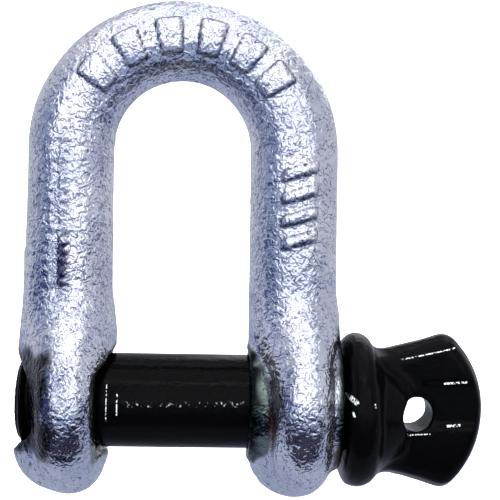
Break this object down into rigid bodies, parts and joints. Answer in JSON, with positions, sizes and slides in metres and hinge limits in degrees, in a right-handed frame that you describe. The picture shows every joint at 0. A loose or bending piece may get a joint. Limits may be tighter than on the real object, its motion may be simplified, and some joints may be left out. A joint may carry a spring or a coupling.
{
  "type": "dee shackle",
  "caption": "Forged screw pin dee shackle: a D-shaped bow with one tapped and one plain ear, and a collared pin with a fan-shaped thumb tab and wire hole.",
  "frame": {"origin": "on the pin's axis, midway between the two ears' inner faces", "axes": "+Z towards the crown, +X along the pin towards its thumb tab, and +Y towards the back, square to the D"},
  "size_m": [0.0554, 0.0218, 0.0582],
  "materials": {
    "galvanised_steel": "satin",
    "black_paint": "gloss"
  },
  "bodies": {
    "bow": {"bow": "galvanised_steel"},
    "screw_pin": {"screw_pin": "black_paint"}
  },
  "joints": [
    {"name": "pin_withdrawal", "type": "slide", "parent": "bow", "child": "screw_pin", "axis": [1, 0, 0], "range_m": [0, 0.042]}
  ]
}
